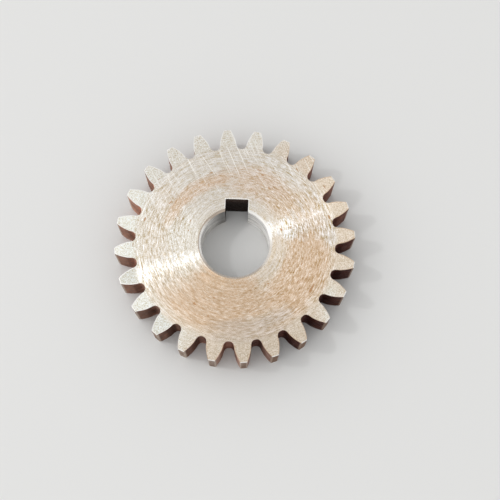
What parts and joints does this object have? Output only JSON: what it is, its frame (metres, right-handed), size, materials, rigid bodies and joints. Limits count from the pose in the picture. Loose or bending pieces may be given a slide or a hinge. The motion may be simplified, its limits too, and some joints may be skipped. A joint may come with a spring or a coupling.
{
  "type": "spur change gear",
  "caption": "Flat spur gear with straight involute teeth, a plain central bore and one keyway, made from a single piece of turned steel.",
  "frame": {"origin": "where the bore's axis meets the lower face, which is the face the gear rests on", "axes": "+Z along the bore's axis, away from the lower face; +Y from the axis to the middle of the keyway"},
  "size_m": [0.0518, 0.0518, 0.009],
  "materials": {
    "steel": "faces turned bright with a light tan stain, tooth walls oxidised dark brown"
  },
  "bodies": {
    "root": {"change_gear": "steel"}
  },
  "joints": []
}
